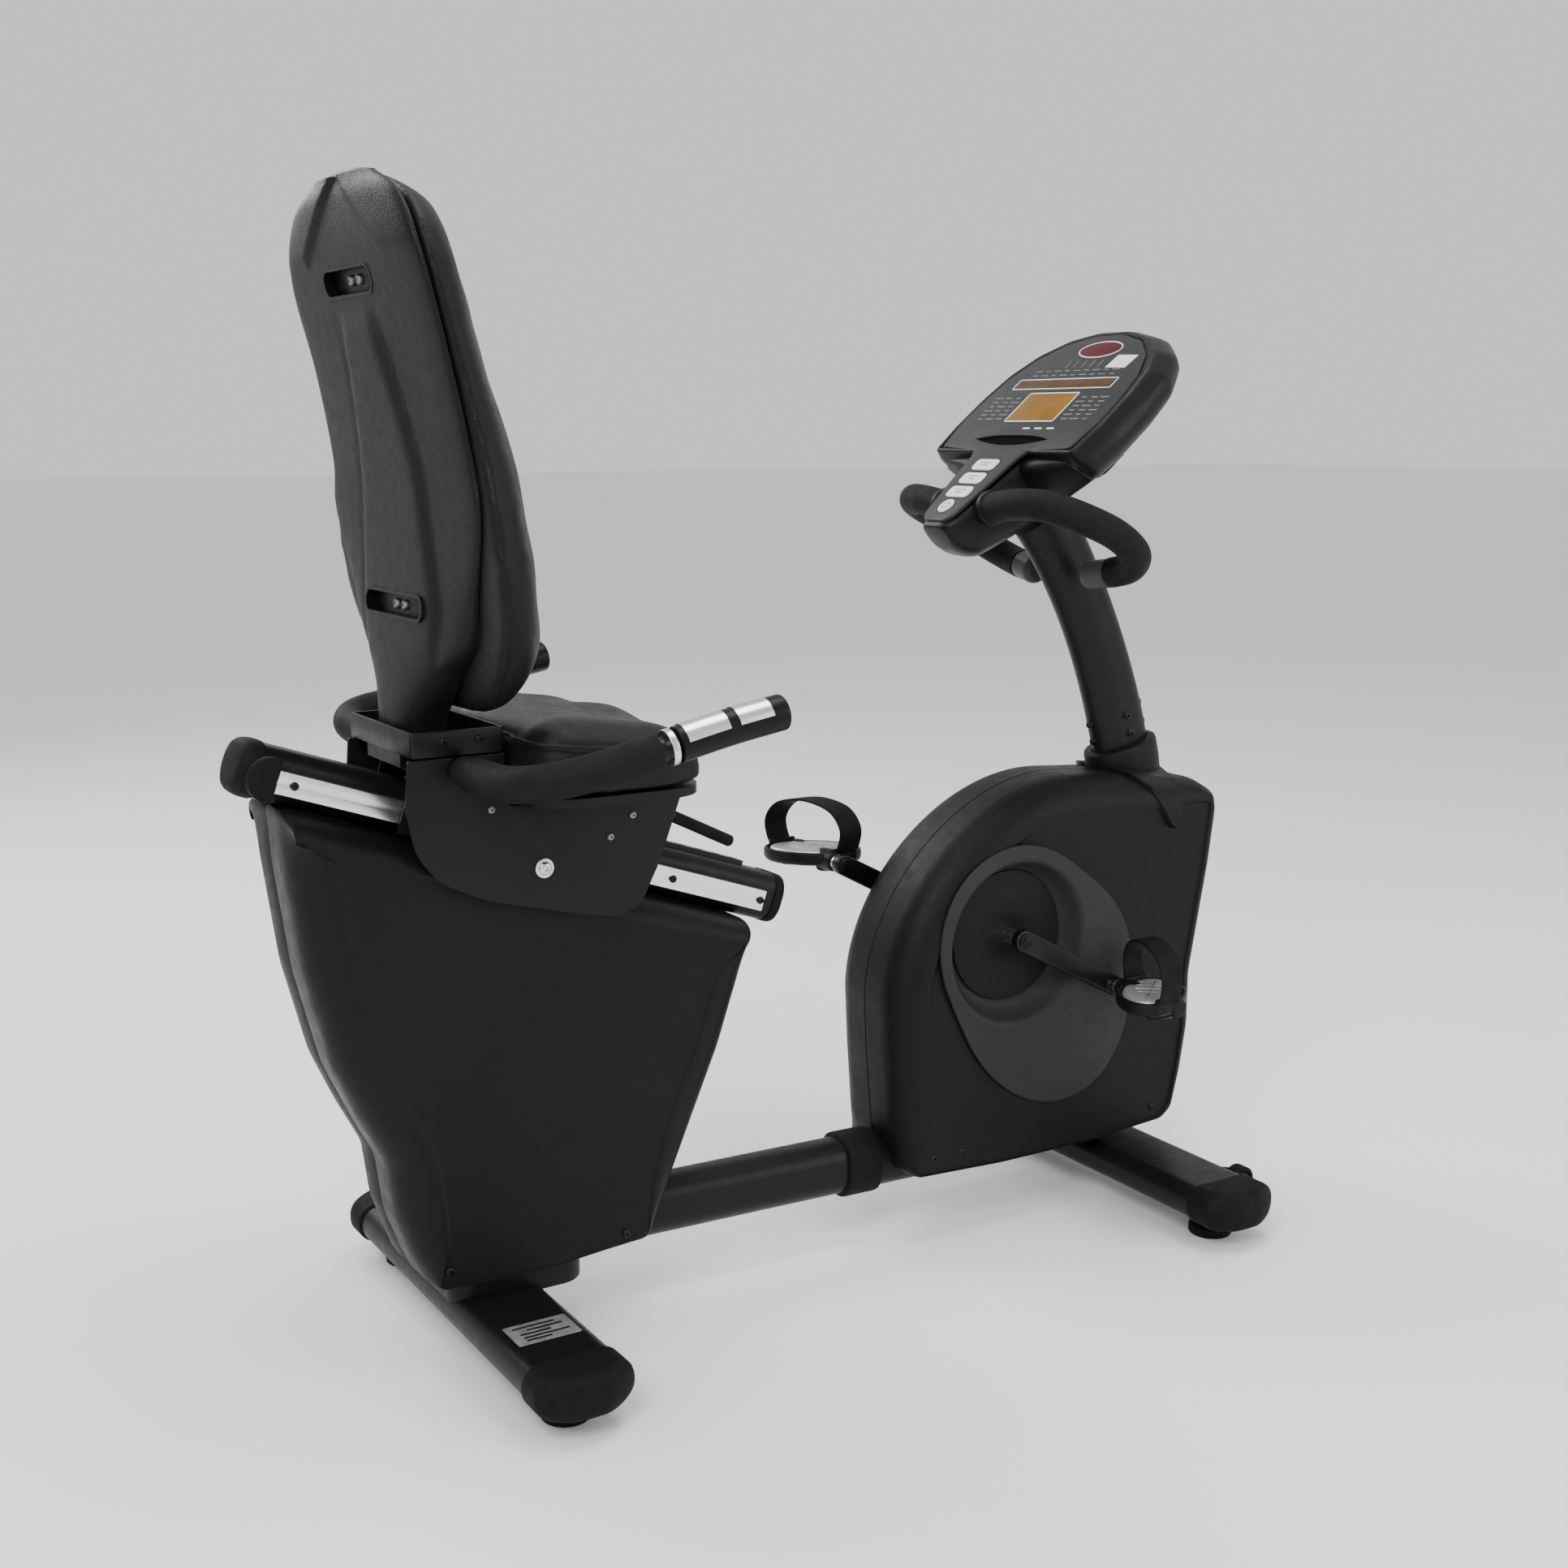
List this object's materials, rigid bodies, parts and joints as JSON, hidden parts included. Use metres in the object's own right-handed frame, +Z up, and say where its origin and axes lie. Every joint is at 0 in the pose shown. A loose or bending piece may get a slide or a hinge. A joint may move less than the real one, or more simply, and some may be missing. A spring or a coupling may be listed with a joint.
{
  "type": "recumbent exercise bike",
  "caption": "Recumbent exercise bike with a padded seat and backrest on an inclined slide rail, shrouded pedal drive, console on a curved mast and side handgrips.",
  "frame": {"origin": "on the floor, under the middle of the bike's length and width", "axes": "+X forward from the seat towards the console, +Y to the rider's left, +Z up"},
  "size_m": [1.3446, 0.6298, 1.292],
  "materials": {
    "frame_black": "satin black powder coat",
    "shroud_black": "fine-textured black moulding",
    "trim_charcoal": "satin charcoal",
    "aluminium_rail": "bright drawn",
    "rubber_black": "matt",
    "steel_bright": "zinc plated",
    "steel_black": "black oxide",
    "leather_seat": "soft black vinyl",
    "leather_back": "soft black vinyl",
    "foam_black": "closed-cell foam",
    "console_black": "matt",
    "console_face": "satin grey",
    "display_amber": "amber film",
    "board_green": "circuit board",
    "key_white": "satin",
    "cast_iron": "machined rim",
    "pedal_black": "satin",
    "roller_white": "nylon",
    "grip_black": "satin",
    "belt_black": "ribbed"
  },
  "bodies": {
    "base": {"main_beam": "frame_black", "rear_stabiliser": "frame_black", "front_stabiliser": "frame_black", "stabiliser_caps": "rubber_black", "rear_post": "frame_black", "mast_post": "frame_black", "seat_rail": "frame_black", "rail_strips": "aluminium_rail", "rail_end_caps": "shroud_black", "lock_rack": "steel_black", "rear_shroud_left": "shroud_black", "rear_shroud_right": "shroud_black", "front_shroud_left": "shroud_black", "front_shroud_right": "shroud_black", "shroud_trims": "trim_charcoal", "beam_collar": "shroud_black", "mast_collar": "shroud_black", "frame_screws": "steel_black", "mast": "frame_black", "front_handlebar": "foam_black", "console_back": "console_black", "console_face": "console_face", "displays": "display_amber", "console_board": "board_green", "drive_bracket": "frame_black", "crank_bearings": "steel_bright", "drive_belt": "belt_black"},
    "seat": {"carriage_frame": "frame_black", "side_plates": "frame_black", "seat_pan": "shroud_black", "seat_cushion": "leather_seat", "backrest_bracket": "frame_black", "backrest_shell": "shroud_black", "backrest_cushion": "leather_back", "seat_handlebar": "frame_black", "handlebar_foam": "foam_black", "pulse_grips": "grip_black", "seat_screws": "steel_bright"},
    "roller_front": {"roller_front": "roller_white"},
    "roller_rear": {"roller_rear": "roller_white"},
    "seat_lever": {"seat_lever": "frame_black"},
    "lock_pin": {"lock_pin": "steel_bright"},
    "crank": {"crank_axle": "steel_bright", "crank_arms": "frame_black", "crank_discs": "shroud_black", "drive_pulley": "pedal_black"},
    "pedal_left": {"pedal_left": "pedal_black"},
    "pedal_right": {"pedal_right": "pedal_black"},
    "flywheel": {"flywheel": "cast_iron"},
    "idler": {"idler": "pedal_black"},
    "wheel_left": {"wheel_left": "rubber_black"},
    "wheel_right": {"wheel_right": "rubber_black"},
    "foot_rear_left": {"foot_rear_left": "rubber_black"},
    "foot_rear_right": {"foot_rear_right": "rubber_black"},
    "foot_front_left": {"foot_front_left": "rubber_black"},
    "foot_front_right": {"foot_front_right": "rubber_black"},
    "key_1": {"key_1": "key_white"},
    "key_2": {"key_2": "key_white"},
    "key_3": {"key_3": "key_white"},
    "key_4": {"key_4": "key_white"}
  },
  "joints": [
    {"name": "seat_slide", "type": "slide", "parent": "base", "child": "seat", "axis": [0.9455, 0, -0.3256], "range_m": [-0.12, 0.18]},
    {"name": "roller_front_spin", "type": "hinge", "parent": "seat", "child": "roller_front", "pos_m": [-0.25954, 0, 0.58088], "axis": [0, 1, 0], "continuous": true},
    {"name": "roller_rear_spin", "type": "hinge", "parent": "seat", "child": "roller_rear", "pos_m": [-0.44865, 0, 0.64599], "axis": [0, 1, 0], "continuous": true},
    {"name": "seat_lever_lift", "type": "hinge", "parent": "seat", "child": "seat_lever", "pos_m": [-0.285, 0, 0.628], "axis": [0, -1, 0], "range_deg": [0, 17], "stiffness_Nm_per_rad": 4, "springref_deg": -11.46},
    {"name": "lock_pin_slide", "type": "slide", "parent": "seat", "child": "lock_pin", "axis": [0.3256, 0, 0.9455], "range_m": [0, 0.0145]},
    {"name": "crank_spin", "type": "hinge", "parent": "base", "child": "crank", "pos_m": [0.316, 0, 0.392], "axis": [0, 1, 0], "continuous": true},
    {"name": "pedal_left_spin", "type": "hinge", "parent": "crank", "child": "pedal_left", "pos_m": [0.16148, 0.168, 0.47416], "axis": [0, 1, 0], "continuous": true},
    {"name": "pedal_right_spin", "type": "hinge", "parent": "crank", "child": "pedal_right", "pos_m": [0.47052, -0.168, 0.30984], "axis": [0, 1, 0], "continuous": true},
    {"name": "flywheel_spin", "type": "hinge", "parent": "base", "child": "flywheel", "pos_m": [0.423, 0, 0.235], "axis": [0, 1, 0], "continuous": true},
    {"name": "idler_spin", "type": "hinge", "parent": "base", "child": "idler", "pos_m": [0.32824, 0, 0.23634], "axis": [0, 1, 0], "continuous": true},
    {"name": "wheel_left_spin", "type": "hinge", "parent": "base", "child": "wheel_left", "pos_m": [0.604, 0.205, 0.046], "axis": [0, 1, 0], "continuous": true},
    {"name": "wheel_right_spin", "type": "hinge", "parent": "base", "child": "wheel_right", "pos_m": [0.604, -0.205, 0.046], "axis": [0, 1, 0], "continuous": true},
    {"name": "foot_rear_left_turn", "type": "hinge", "parent": "base", "child": "foot_rear_left", "pos_m": [-0.403, 0.234, 0.03], "axis": [0, 0, 1], "continuous": true},
    {"name": "foot_rear_right_turn", "type": "hinge", "parent": "base", "child": "foot_rear_right", "pos_m": [-0.403, -0.234, 0.03], "axis": [0, 0, 1], "continuous": true},
    {"name": "foot_front_left_turn", "type": "hinge", "parent": "base", "child": "foot_front_left", "pos_m": [0.527, 0.234, 0.03], "axis": [0, 0, 1], "continuous": true},
    {"name": "foot_front_right_turn", "type": "hinge", "parent": "base", "child": "foot_front_right", "pos_m": [0.527, -0.234, 0.03], "axis": [0, 0, 1], "continuous": true},
    {"name": "key_1_press", "type": "slide", "parent": "base", "child": "key_1", "axis": [0.6361, 0, -0.7716], "range_m": [0, 0.0015], "stiffness_N_per_m": 900},
    {"name": "key_2_press", "type": "slide", "parent": "base", "child": "key_2", "axis": [0.6361, 0, -0.7716], "range_m": [0, 0.0015], "stiffness_N_per_m": 900},
    {"name": "key_3_press", "type": "slide", "parent": "base", "child": "key_3", "axis": [0.6361, 0, -0.7716], "range_m": [0, 0.0015], "stiffness_N_per_m": 900},
    {"name": "key_4_press", "type": "slide", "parent": "base", "child": "key_4", "axis": [0.6361, 0, -0.7716], "range_m": [0, 0.0015], "stiffness_N_per_m": 900}
  ],
  "couplings": [
    {"joint": "roller_front_spin", "follows": "seat_slide", "rad_per_m": 83.333},
    {"joint": "roller_rear_spin", "follows": "seat_slide", "rad_per_m": 83.333},
    {"joint": "lock_pin_slide", "follows": "seat_lever_lift", "m_per_rad": 0.047},
    {"joint": "flywheel_spin", "follows": "crank_spin", "ratio": 4.7447},
    {"joint": "idler_spin", "follows": "crank_spin", "ratio": -6.027}
  ]
}
